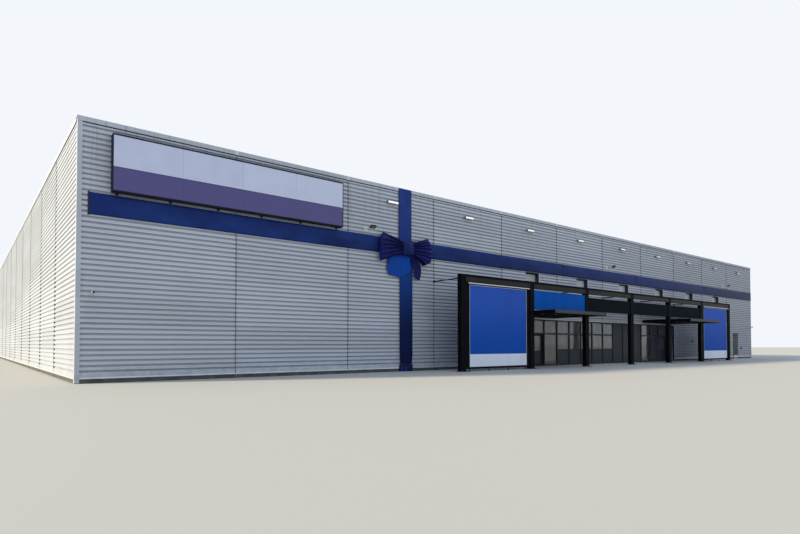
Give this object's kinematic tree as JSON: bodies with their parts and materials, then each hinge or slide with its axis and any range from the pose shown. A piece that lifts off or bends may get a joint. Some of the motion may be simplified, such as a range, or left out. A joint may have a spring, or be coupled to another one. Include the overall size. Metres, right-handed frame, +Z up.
{
  "type": "building supply store, 1:2 scale model",
  "caption": "Large flat-roofed store at half size, clad in ribbed metal, with a light-box sign, gift ribbon and bow, steel portico with canopies, glazed front and working doors",
  "frame": {"origin": "on the ground, under the middle of the whole part", "axes": "+X along the shop front to the right as seen from outside, +Y from the front into the building, +Z up"},
  "size_m": [30.144, 26.252, 4.6213],
  "materials": {
    "cladding": "silver-grey coated ribbed sheet",
    "trim": "light grey folded flashing",
    "wall_panel": "insulated metal wall build-up",
    "plinth": "dark coated concrete upstand",
    "roof": "grey roofing membrane on an insulated deck",
    "floor": "sealed concrete",
    "black_steel": "black powder coating",
    "dark_frame": "dark grey coated profiles",
    "dark_panel": "dark grey panel",
    "clear_glass": "clear insulating glass",
    "sign_casing": "painted tray",
    "sign_face": "translucent light-box face",
    "blue_board": "printed blue board",
    "ribbon": "blue satin cloth",
    "canopy": "dark grey canopy with a lighter edge",
    "fitting": "dark housings"
  },
  "bodies": {
    "building": {"floor_slab": "floor", "thresholds": "floor", "roof_deck": "roof", "front_wall_left": "wall_panel", "front_wall_over_shopfront": "wall_panel", "front_wall_middle": "wall_panel", "front_wall_over_door": "wall_panel", "front_wall_right": "wall_panel", "front_wall_upper": "wall_panel", "front_window_piers": "wall_panel", "back_wall": "wall_panel", "left_wall": "wall_panel", "right_wall": "wall_panel", "front_cladding": "cladding", "back_cladding": "cladding", "side_cladding": "cladding", "plinth": "plinth", "corner_trims": "trim", "joint_strips": "dark_frame", "parapet_caps": "trim", "high_window_frames": "trim", "high_window_glass": "clear_glass", "overflow_spouts": "trim", "floodlights": "fitting", "wall_fittings": "fitting", "sign_box": "sign_casing", "sign_faces": "sign_face", "ribbon_level": "ribbon", "ribbon_upright": "ribbon", "bow_knot": "ribbon", "bow_loops": "ribbon", "bow_tails": "ribbon", "portico_columns": "black_steel", "portico_beam": "black_steel", "portico_ties": "black_steel", "billboard_frames": "black_steel", "billboard_panels": "blue_board", "entrance_sign": "blue_board", "fascia_panels": "dark_panel", "canopies": "canopy", "shopfront_frame": "dark_frame", "shopfront_glass": "clear_glass", "shopfront_panels": "dark_panel", "door_tracks": "dark_frame", "side_door_frame": "dark_frame"},
    "entrance_leaf_left": {"entrance_leaf_left": "dark_frame"},
    "entrance_leaf_right": {"entrance_leaf_right": "dark_frame"},
    "exit_leaf_left": {"exit_leaf_left": "dark_frame"},
    "exit_leaf_right": {"exit_leaf_right": "dark_frame"},
    "side_door": {"side_door_leaf": "dark_panel"}
  },
  "joints": [
    {"name": "entrance_left_slide", "type": "slide", "parent": "building", "child": "entrance_leaf_left", "axis": [-1, 0, 0], "range_m": [0, 0.63]},
    {"name": "entrance_right_slide", "type": "slide", "parent": "building", "child": "entrance_leaf_right", "axis": [1, 0, 0], "range_m": [0, 0.63]},
    {"name": "exit_left_slide", "type": "slide", "parent": "building", "child": "exit_leaf_left", "axis": [-1, 0, 0], "range_m": [0, 0.63]},
    {"name": "exit_right_slide", "type": "slide", "parent": "building", "child": "exit_leaf_right", "axis": [1, 0, 0], "range_m": [0, 0.63]},
    {"name": "side_door_hinge", "type": "hinge", "parent": "building", "child": "side_door", "pos_m": [12.809, -11.34, 0.6], "axis": [0, 0, -1], "range_deg": [0, 100]}
  ],
  "couplings": [
    {"joint": "entrance_right_slide", "follows": "entrance_left_slide", "ratio": 1},
    {"joint": "exit_right_slide", "follows": "exit_left_slide", "ratio": 1}
  ]
}
